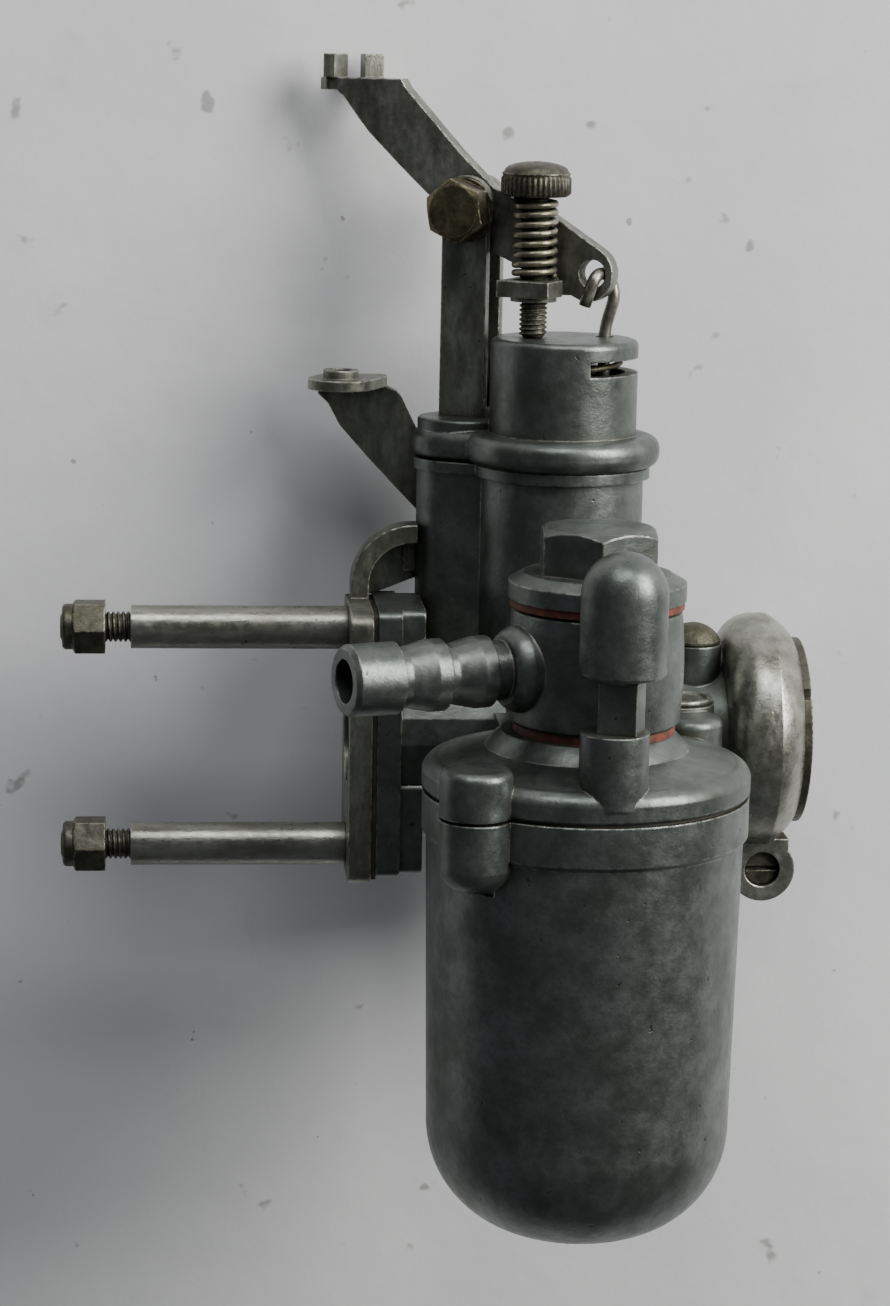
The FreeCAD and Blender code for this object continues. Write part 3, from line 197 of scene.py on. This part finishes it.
def metal(name, dark, light, worn, grime_and_shade, rough=(0.35, 0.55), metallic=0.85, mottle=220.0, grain=2600.0,
          grain_strength=0.3, crevice_shade_amount=0.9, edge_radius=0.0004, stretch=None, cast=0.0, stain=0.5):
    """Used metal: mottled tone, bright worn edges, patchy painted shade in the crevices and a fine surface
    grain.
    """
    n = Nodes(name)
    broad = n.noise(mottle, 6.0, 0.62, stretch)
    fine = n.noise(mottle * 6, 5.0, 0.7, stretch)
    tone = n.mix(n.ramp(broad, 0.32, 0.68), dark, light)
    stains = n.ramp(n.noise(mottle * 0.4, 5.0, 0.65, stretch), 0.45, 0.70, 0.0, stain)
    tone = n.mix(stains, tone, STAIN)
    tone = n.mix(n.ramp(fine, 0.42, 0.72, 0.0, 0.55), tone, dark)
    tone = n.mix(n.ramp(n.noise(mottle * 14, 3.0, 0.6), 0.60, 0.74, 0.0, 0.4), tone, light)
    pits = n.ramp(n.noise(mottle * 3.7, 3.0, 0.5), 0.70, 0.75)
    tone = n.mix(n.maths("MULTIPLY", pits, 0.7), tone, grime_and_shade)
    edge = n.maths("MULTIPLY", n.edges(edge_radius), n.ramp(n.noise(mottle * 4), 0.38, 0.58))
    tone = n.mix(edge, tone, worn)
    # painted shade: an ambient occlusion mask darkens the crevices in patches towards the grime colour and
    # makes them rougher
    crevice_shade_mask = n.crevices(0.004)
    crevice_shade = n.maths("MULTIPLY", crevice_shade_mask, n.ramp(n.noise(mottle * 2, 6.0), 0.3, 0.6, 0.4, 1.0))
    crevice_shade = n.maths("MULTIPLY", crevice_shade, crevice_shade_amount)
    tone = n.mix(crevice_shade, tone, grime_and_shade)
    n.put(n.shader.inputs["Base Color"], tone)
    n.shader.inputs["Metallic"].default_value = metallic
    base_rough = n.ramp(n.noise(mottle * 3.1, 6.0, 0.7), 0.30, 0.70, rough[0], rough[1])
    n.put(n.shader.inputs["Roughness"], n.maths("ADD", base_rough, n.maths("MULTIPLY", crevice_shade, 0.35)))
    smooth_edges = n.add("ShaderNodeBevel", samples=4)
    smooth_edges.inputs["Radius"].default_value = edge_radius
    normal = n.bump(n.noise(mottle * 1.6, 4.0, 0.6), 0.30 + cast, 0.0003, smooth_edges.outputs["Normal"])
    normal = n.bump(n.maths("SUBTRACT", 1.0, pits), 0.35, 0.0001, normal)
    normal = n.bump(n.noise(grain, 3.0, 0.6, stretch), grain_strength, 0.00008, normal)
    n.put(n.shader.inputs["Normal"], normal)
    return n.material


def soft_solid(name, dark, light, grime_and_shade, rough=(0.5, 0.75), mottle=200.0, bump=0.3, stretch=None):
    """Fibre, nylon, paper or moulded float plastic."""
    n = Nodes(name)
    tone = n.mix(n.ramp(n.noise(mottle, 5.0, 0.6, stretch), 0.35, 0.65), dark, light)
    # painted shade: an ambient occlusion mask darkens the crevices towards the grime colour; the specks below
    # are dirt
    crevice_shade = n.maths("MULTIPLY", n.crevices(0.003), 0.6)
    tone = n.mix(crevice_shade, tone, grime_and_shade)
    tone = n.mix(n.ramp(n.noise(mottle * 4, 6.0), 0.55, 0.75, 0.0, 0.6), tone, grime_and_shade)
    n.put(n.shader.inputs["Base Color"], tone)
    n.put(n.shader.inputs["Roughness"], n.ramp(n.noise(mottle * 2), 0.3, 0.7, rough[0], rough[1]))
    n.put(n.shader.inputs["Normal"], n.bump(n.noise(mottle * 8, 4.0, 0.6, stretch), bump, 0.0001))
    return n.material


# dark colours for dirt in pits and specks, also used for the painted shade in crevices
GRIME_AND_SHADE = colour(0.022, 0.020, 0.012)
OLIVE_GRIME_AND_SHADE = colour(0.045, 0.042, 0.022)
MATERIALS = {
    "cast_zinc": metal("cast_zinc", colour(0.100, 0.113, 0.101), colour(0.180, 0.198, 0.185),
                       colour(0.42, 0.43, 0.39), OLIVE_GRIME_AND_SHADE, rough=(0.32, 0.44), metallic=0.88, mottle=160.0,
                       cast=0.05, stain=0.22),
    "bell_zinc": metal("bell_zinc", colour(0.24, 0.24, 0.20), colour(0.44, 0.44, 0.39),
                       colour(0.70, 0.69, 0.62), OLIVE_GRIME_AND_SHADE, rough=(0.24, 0.42), metallic=0.9, mottle=260.0),
    "plated_steel": metal("plated_steel", colour(0.140, 0.145, 0.118), colour(0.330, 0.335, 0.285),
                          colour(0.66, 0.65, 0.58), GRIME_AND_SHADE, rough=(0.28, 0.50), metallic=0.85, mottle=260.0,
                          stretch=(1.0, 1.0, 0.4)),
    "sleeve_steel": metal("sleeve_steel", colour(0.20, 0.20, 0.17), colour(0.38, 0.38, 0.335),
                          colour(0.62, 0.61, 0.56), OLIVE_GRIME_AND_SHADE, rough=(0.24, 0.42), metallic=0.9,
                          mottle=240.0, stretch=(0.25, 1.0, 1.0)),
    "dark_steel": metal("dark_steel", colour(0.045, 0.045, 0.034), colour(0.12, 0.115, 0.088),
                        colour(0.36, 0.34, 0.28), GRIME_AND_SHADE, rough=(0.32, 0.55), metallic=0.8, mottle=380.0),
    "spring_steel": metal("spring_steel", colour(0.14, 0.13, 0.085), colour(0.32, 0.30, 0.22),
                          colour(0.55, 0.52, 0.42), GRIME_AND_SHADE, rough=(0.28, 0.45), metallic=0.85, mottle=500.0,
                          edge_radius=0.0001),
    "dark_brass": metal("dark_brass", colour(0.075, 0.065, 0.036), colour(0.20, 0.175, 0.10),
                        colour(0.52, 0.47, 0.34), GRIME_AND_SHADE, rough=(0.28, 0.5), metallic=0.85, mottle=320.0),
    "jet_brass": metal("jet_brass", colour(0.40, 0.29, 0.11), colour(0.60, 0.45, 0.19), 
                       colour(0.78, 0.63, 0.34), GRIME_AND_SHADE, rough=(0.25, 0.4), metallic=0.95),
    "wire_steel": metal("wire_steel", colour(0.22, 0.21, 0.17), colour(0.42, 0.40, 0.35),
                        colour(0.70, 0.68, 0.62), GRIME_AND_SHADE, rough=(0.26, 0.42), metallic=0.9, mottle=400.0),
    "fibre_red": soft_solid("fibre_red", colour(0.070, 0.017, 0.010), colour(0.185, 0.042, 0.022), GRIME_AND_SHADE,
                            mottle=700.0),
    "gasket_paper": soft_solid("gasket_paper", colour(0.020, 0.018, 0.014), colour(0.06, 0.052, 0.04), GRIME_AND_SHADE),
    "white_nylon": soft_solid("white_nylon", colour(0.10, 0.095, 0.07), colour(0.22, 0.21, 0.16), GRIME_AND_SHADE),
    "float_foam": soft_solid("float_foam", colour(0.48, 0.40, 0.24), colour(0.66, 0.58, 0.38), OLIVE_GRIME_AND_SHADE,
                             mottle=120.0),
    "gauze_brass": metal("gauze_brass", colour(0.12, 0.10, 0.05), colour(0.28, 0.23, 0.12),
                         colour(0.50, 0.43, 0.27), GRIME_AND_SHADE, rough=(0.35, 0.5), metallic=0.85, mottle=400.0,
                         edge_radius=0.00005),
}
# the pressed plug on the intake spigot is crusted with old varnish
CRUSTED_PLUG = metal("crusted_plug", colour(0.032, 0.030, 0.018), colour(0.10, 0.095, 0.062),
                     colour(0.34, 0.33, 0.27), GRIME_AND_SHADE, rough=(0.4, 0.65), metallic=0.6, mottle=420.0,
                     grain=1500.0, grain_strength=0.8, cast=0.6)


def wear(piece, material_name):
    """Give a piece its finish and the matching slot of the record."""
    piece.data.materials.clear()
    piece.data.materials.append(MATERIALS[material_name])


def finish_cad_nodes():
    for entry in frame["record"]["subparts"]:
        node = frame["nodes"][entry["node"]]
        for index in range(len(node.data.materials)):
            node.data.materials[index] = MATERIALS[entry["material_slot"]]
    plug = frame["nodes"]["upper_core_plug"]
    for index in range(len(plug.data.materials)):
        plug.data.materials[index] = CRUSTED_PLUG


finish_cad_nodes()


# ---- detailed pieces ----
MM = 0.001
HALF_TURN = math.pi
FULL_TURN = 2 * math.pi


def make_piece(name, vertices, faces, node, body, material_name, smooth=True):
    """A mesh that stands for one CAD node and moves with its body."""
    mesh = bpy.data.meshes.new(name)
    mesh.from_pydata(vertices, [], faces)
    mesh.update()
    if smooth:
        mesh.shade_smooth()
    piece = bpy.data.objects.new(name, mesh)
    bpy.context.scene.collection.objects.link(piece)
    wear(piece, material_name)
    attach(piece, body)
    if node:
        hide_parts(node)
    return piece


def node_axis(node):
    """Centre and lower and upper corners of a CAD node's box."""
    low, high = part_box(node)
    low = Vector(low)
    high = Vector(high)
    return (low + high) / 2, low, high


def rings_to_mesh(rings):
    """Vertices and faces of a skin over equal rings of points, with a cap on each end."""
    sides = len(rings[0])
    vertices = [point for ring in rings for point in ring]
    faces = []
    for i in range(len(rings) - 1):
        for j in range(sides):
            k = (j + 1) % sides
            faces.append((i * sides + j, i * sides + k, (i + 1) * sides + k, (i + 1) * sides + j))
    faces.append(tuple(reversed(range(sides))))
    faces.append(tuple(range((len(rings) - 1) * sides, len(rings) * sides)))
    return vertices, faces


def add_to_mesh(vertices, faces, more):
    """Append another skin to the vertices and faces of a mesh."""
    more_vertices, more_faces = more
    shift = len(vertices)
    vertices += more_vertices
    faces += [tuple(i + shift for i in face) for face in more_faces]


def tube_mesh(points, radius, sides=12):
    """Round wire along a list of points."""
    rings = []
    normal = None
    for i, point in enumerate(points):
        before = points[max(i - 1, 0)]
        after = points[min(i + 1, len(points) - 1)]
        along = (after - before).normalized()
        if normal is None:
            normal = along.orthogonal().normalized()
        normal = (normal - along * normal.dot(along)).normalized()
        side = along.cross(normal)
        turns = [FULL_TURN * j / sides for j in range(sides)]
        rings.append([point + (normal * math.cos(a) + side * math.sin(a)) * radius for a in turns])
    return rings_to_mesh(rings)


def smooth_route(corners, radius, steps=8):
    """Points along straight runs whose corners are rounded by arcs."""
    route = [corners[0]]
    for before, corner, after in zip(corners, corners[1:], corners[2:]):
        reach = min(radius, (corner - before).length * 0.48, (after - corner).length * 0.48)
        start = corner + (before - corner).normalized() * reach
        end = corner + (after - corner).normalized() * reach
        for step in range(steps + 1):
            t = step / steps
            route.append(start * (1 - t) ** 2 + corner * 2 * t * (1 - t) + end * t ** 2)
    route.append(corners[-1])
    return route


def coil_points(centre, coil_r, low_z, high_z, turns, wire_r, steps=28):
    """Centre line of a spring with its end turns closed down flat."""
    count = int(turns * steps)
    points = []
    closed = 1.0 / turns
    for i in range(count + 1):
        t = i / count
        a = t * turns * FULL_TURN
        middle = min(max((t - closed) / (1 - 2 * closed), 0.0), 1.0)
        end_rise = 2 * wire_r * 0.9
        rise = end_rise * (min(t, closed) + max(t - 1 + closed, 0.0)) / closed
        open_part = (high_z - low_z - 2 * wire_r - 2 * end_rise) * middle
        z = low_z + wire_r + rise + open_part
        points.append(Vector((centre.x + coil_r * math.cos(a), centre.y + coil_r * math.sin(a), z)))
    return points


def make_spring(name, node, body, wire_r, turns, steps=28):
    """Coil spring as wide and as long as its plain tube in CAD."""
    centre, low, high = node_axis(node)
    coil_r = (high.x - low.x) / 2 - wire_r
    points = coil_points(centre, coil_r, low.z, high.z, turns, wire_r, steps)
    vertices, faces = tube_mesh(points, wire_r, 10)
    return make_piece(name, vertices, faces, node, body, "spring_steel")


def squeeze(piece):
    """Give the spring a mesh of its own."""
    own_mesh(piece)


def make_springs():
    make_spring("idle_spring_coils", "idle_screw_spring", "lever", 0.55 * MM, 8.5)
    slide_spring = make_spring("slide_spring_coils", "slide_spring", "carburettor_body", 0.5 * MM, 15)
    tickler_spring = make_spring("tickler_spring_coils", "tickler_spring", "carburettor_body", 0.22 * MM, 5.5)
    squeeze(slide_spring)
    squeeze(tickler_spring)


def thread_radius(along, turn, pitch, outer, root):
    """Radius of a rounded V thread at a place along it and an angle round it."""
    phase = (along / pitch - turn / FULL_TURN) % 1.0
    height = 1.0 - abs(2 * phase - 1.0)
    return root + (outer - root) * min(1.0, max(0.0, (height - 0.08) / 0.72))


def screw_mesh(origin, axis, stations, sides=36):
    """Round bar along axis; each station is (distance, radius, pitch, outer) with pitch 0 for plain."""
    u = axis.orthogonal().normalized()
    v = axis.cross(u)
    rings = []
    for along, radius, pitch, outer in stations:
        ring = []
        for j in range(sides):
            a = FULL_TURN * j / sides
            r = thread_radius(along, a, pitch, outer, radius) if pitch else radius
            ring.append(origin + axis * along + (u * math.cos(a) + v * math.sin(a)) * r)
        rings.append(ring)
    return rings_to_mesh(rings)


def threaded_stations(start, end, root, outer, pitch, steps=8):
    count = max(2, int((end - start) / pitch * steps))
    return [(start + (end - start) * i / count, root, pitch, outer) for i in range(count + 1)]


STUD_PITCH = 0.8 * MM
STUD_OUTER_R = 2.48 * MM
STUD_ROOT_R = 2.02 * MM
STUD_CORE_R = 2.1 * MM
STUD_BOX_R = 2.5 * MM


def make_studs():
    """Two studs, threaded at the engine end and again where they screw into the casting."""
    centre, low, high = node_axis("engine_studs")
    sleeve_centre, sleeve_low, sleeve_high = node_axis("spacer_sleeves")
    spacing = (high.z - low.z) / 2 - STUD_BOX_R
    vertices = []
    faces = []
    length = high.x - low.x
    engine_thread = sleeve_low.x - low.x + 1.5 * MM
    casting_thread = sleeve_high.x - low.x
    for side in (-1, 1):
        stations = [(0.0, STUD_ROOT_R - 0.3 * MM, 0, 0)]
        stations += threaded_stations(0.25 * MM, engine_thread, STUD_ROOT_R, STUD_OUTER_R, STUD_PITCH)
        stations += [(engine_thread + 0.1 * MM, STUD_CORE_R, 0, 0), (casting_thread, STUD_CORE_R, 0, 0)]
        stations += threaded_stations(casting_thread + 0.1 * MM, length, STUD_ROOT_R, STUD_CORE_R,
                                      STUD_PITCH, 4)
        origin = Vector((low.x, centre.y, side * spacing))
        add_to_mesh(vertices, faces, screw_mesh(origin, Vector((1, 0, 0)), stations))
    make_piece("threaded_studs", vertices, faces, "engine_studs", "carburettor_body", "dark_steel")


KNOB_H = 5.5 * MM
KNURLS = 40
KNURL_DEPTH = 0.32
# height and radius up the knob's side in millimetres, then the angles of its domed top
KNOB_SKIRT = ((0.0, 4.9), (0.25, 5.3), (0.5, 5.6), (2.9, 5.6))
KNOB_NECK = ((3.15, 5.35), (3.4, 5.35), (3.6, 5.5), (4.0, 5.1))
DOME_ANGLES = (0.25, 0.5, 0.75, 1.0, 1.25, 1.42, 1.52)
SCREW_PITCH = 0.75 * MM
SCREW_OUTER_R = 2.25 * MM
SCREW_ROOT_R = 1.85 * MM


def knob_mesh(centre, low_z):
    """Domed thumb knob with upright grooves round its lower half."""
    shoulder_h, shoulder_r = KNOB_NECK[-1]
    profile = list(KNOB_SKIRT + KNOB_NECK)
    profile += [(shoulder_h + 1.5 * math.sin(a), shoulder_r * math.cos(a)) for a in DOME_ANGLES]
    sides = KNURLS * 6
    rings = []
    for height, radius in profile:
        ring = []
        for j in range(sides):
            a = FULL_TURN * j / sides
            groove = KNURL_DEPTH * (0.5 - 0.5 * math.cos(a * KNURLS)) if 0.1 < height < 3.1 else 0.0
            r = (radius - groove) * MM
            ring.append(Vector((centre.x + r * math.cos(a), centre.y + r * math.sin(a), low_z + height * MM)))
        rings.append(ring)
    return rings_to_mesh(rings)


def cut_slot(piece, centre, z, width, depth):
    """Screwdriver slot across the top of a head."""
    tool_mesh = bpy.data.meshes.new("slot_tool")
    tool = bmesh.new()
    bmesh.ops.create_cube(tool, size=1.0)
    tool.to_mesh(tool_mesh)
    tool.free()
    cutter = bpy.data.objects.new("slot_tool", tool_mesh)
    cutter.scale = (0.02, width, depth * 2)
    cutter.location = (centre.x, centre.y, z)
    bpy.context.scene.collection.objects.link(cutter)
    cut = piece.modifiers.new("slot", "BOOLEAN")
    cut.object = cutter
    cut.operation = "DIFFERENCE"
    cut.solver = "EXACT"
    bpy.context.view_layer.update()
    shaped = bpy.data.meshes.new_from_object(piece.evaluated_get(bpy.context.evaluated_depsgraph_get()))
    piece.modifiers.clear()
    piece.data = shaped
    bpy.data.objects.remove(cutter)


def make_idle_screw():
    centre, low, high = node_axis("idle_screw")
    stem_top = high.z - KNOB_H
    stations = [(0.0, 1.5 * MM, 0, 0), (0.5 * MM, 1.9 * MM, 0, 0)]
    stations += threaded_stations(0.55 * MM, stem_top - low.z, SCREW_ROOT_R, SCREW_OUTER_R, SCREW_PITCH)
    vertices, faces = screw_mesh(Vector((centre.x, centre.y, low.z)), Vector((0, 0, 1)), stations)
    make_piece("idle_screw_stem", vertices, faces, None, "idle_screw", "dark_steel")
    vertices, faces = knob_mesh(centre, stem_top)
    knob = make_piece("idle_screw_knob", vertices, faces, "idle_screw", "idle_screw", "dark_steel")
    cut_slot(knob, centre, high.z, 1.0 * MM, 0.9 * MM)
    knob.data.set_sharp_from_angle(angle=math.radians(50))


GAUZE_PITCH = 1.3 * MM
GAUZE_WIRE_R = 0.14 * MM
GAUZE_RIM_R = 0.28 * MM


def make_gauze():
    """Woven wire disc in the mouth of the bell."""
    centre, low, high = node_axis("filter_gauze")
    radius = (high.z - low.z) / 2
    pitch = GAUZE_PITCH
    wire_r = GAUZE_WIRE_R
    count = int(radius / pitch)
    vertices = []
    faces = []
    for direction in (0, 1):
        for i in range(-count, count + 1):
            offset = i * pitch
            half = math.sqrt(max(radius ** 2 - offset ** 2, 0.0))
            steps = max(4, int(2 * half / pitch * 4))
            points = []
            for k in range(steps + 1):
                t = -half + 2 * half * k / steps
                sign = 1 if (i + direction) % 2 else -1
                weave = sign * wire_r * math.cos(HALF_TURN * t / pitch)
                y, z = (t, offset) if direction else (offset, t)
                points.append(Vector((centre.x + weave, centre.y + y, centre.z + z)))
            add_to_mesh(vertices, faces, tube_mesh(points, wire_r, 5))
    rim = [Vector((centre.x, centre.y + radius * math.cos(FULL_TURN * k / 96) * 0.99,
                   centre.z + radius * math.sin(FULL_TURN * k / 96) * 0.99)) for k in range(97)]
    add_to_mesh(vertices, faces, tube_mesh(rim, GAUZE_RIM_R, 8))
    make_piece("woven_gauze", vertices, faces, "filter_gauze", "carburettor_body", "gauze_brass")


# the lever's own directions: along it towards the link, and out of its face
LEVER_TURN = math.radians(28)
ALONG = Vector((math.cos(LEVER_TURN), -math.sin(LEVER_TURN), 0))
FACING = Vector((-math.sin(LEVER_TURN), -math.cos(LEVER_TURN), 0))
PIVOT = Vector((55.1, 10.5, 85.0)) * MM


def on_lever(h, n, z):
    """Point h along the lever, n out of its face and z above its pivot, all in millimetres."""
    return PIVOT + (ALONG * h + FACING * n + Vector((0, 0, z))) * MM


WIRE_R = 1.0 * MM


def make_link_wire():
    """One bent wire: up from the slide, behind the lever, forward through its hole and down."""
    low_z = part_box("link_wire")[0][2]
    upright = on_lever(22.1, -2.9, 0)
    corners = [Vector((upright.x, upright.y, low_z)), Vector((upright.x, upright.y, 66.7 * MM))]
    corners += [on_lever(23.8, -2.9, -12.8), on_lever(22.3, -2.9, -9.4)]
    corners += [on_lever(22.3, 2.55, -9.4), on_lever(20.6, 2.6, -14.4)]
    route = smooth_route(corners, 2.0 * MM)
    vertices, faces = tube_mesh(route, WIRE_R, 16)
    make_piece("bent_link_wire", vertices, faces, "link_wire", "slide", "wire_steel")


make_springs()
make_studs()
make_idle_screw()
make_gauze()
make_link_wire()


# ---- stage and light ----
def make_stage():
    """Pale table the carburettor lies on with its back; it is seen from its front only."""
    back_y = cad_box[1][1] + 0.002
    mesh = bpy.data.meshes.new("table")
    size = 3.0
    corners = [(-size, back_y, -size), (size, back_y, -size), (size, back_y, size), (-size, back_y, size)]
    mesh.from_pydata(corners, [], [(0, 1, 2, 3)])
    table = bpy.data.objects.new("table", mesh)
    bpy.context.scene.collection.objects.link(table)
    n = Nodes("table")
    tone = n.mix(n.ramp(n.noise(7.0, 6.0), 0.35, 0.65), colour(0.64, 0.64, 0.66), colour(0.74, 0.735, 0.735))
    smudges = n.ramp(n.noise(32.0, 5.0, 0.6), 0.62, 0.74, 0.0, 0.22)
    tone = n.mix(smudges, tone, colour(0.44, 0.41, 0.36))
    large_specks = n.ramp(n.noise(120.0, 3.0, 0.5), 0.70, 0.75)
    small_specks = n.ramp(n.noise(310.0, 2.0), 0.76, 0.80)
    specks = n.maths("MAXIMUM", large_specks, small_specks)
    tone = n.mix(n.maths("MULTIPLY", specks, 0.6), tone, colour(0.16, 0.15, 0.13))
    n.put(n.shader.inputs["Base Color"], tone)
    n.shader.inputs["Roughness"].default_value = 0.75
    n.put(n.shader.inputs["Normal"], n.bump(n.noise(60.0, 5.0), 0.15, 0.002))
    geometry = n.add("ShaderNodeNewGeometry")
    clear = n.add("ShaderNodeBsdfTransparent")
    either = n.add("ShaderNodeMixShader")
    n.put(either.inputs["Fac"], geometry.outputs["Backfacing"])
    n.put(either.inputs[1], n.shader.outputs["BSDF"])
    n.put(either.inputs[2], clear.outputs["BSDF"])
    n.put(n.tree.nodes["Material Output"].inputs["Surface"], either.outputs["Shader"])
    mesh.materials.append(n.material)


def area_light(name, place, aim, size, power, tint=(1.0, 1.0, 1.0)):
    data = bpy.data.lights.new(name, "AREA")
    data.shape = "RECTANGLE"
    data.size = size[0]
    data.size_y = size[1]
    data.energy = power
    data.color = tint
    light = bpy.data.objects.new(name, data)
    place = Vector(place)
    light.location = place
    light.rotation_euler = (Vector(aim) - place).to_track_quat("-Z", "Y").to_euler()
    bpy.context.scene.collection.objects.link(light)


def make_light():
    centre = (0.06, -0.02, 0.02)
    area_light("window", (0.72, -0.46, 0.44), centre, (0.40, 0.70), 14.5, (1.0, 0.995, 0.97))
    area_light("ceiling", (0.02, -0.50, 0.95), centre, (0.70, 0.45), 5.5, (0.97, 0.98, 1.0))
    area_light("back_fill", (-0.5, 0.8, 0.4), centre, (0.8, 0.8), 1.6, (0.97, 0.98, 1.0))
    world = bpy.data.worlds.new("room")
    world.use_nodes = True
    background = world.node_tree.nodes["Background"]
    background.inputs["Color"].default_value = (0.56, 0.60, 0.64, 1.0)
    background.inputs["Strength"].default_value = 0.16
    bpy.context.scene.world = world


make_stage()
make_light()
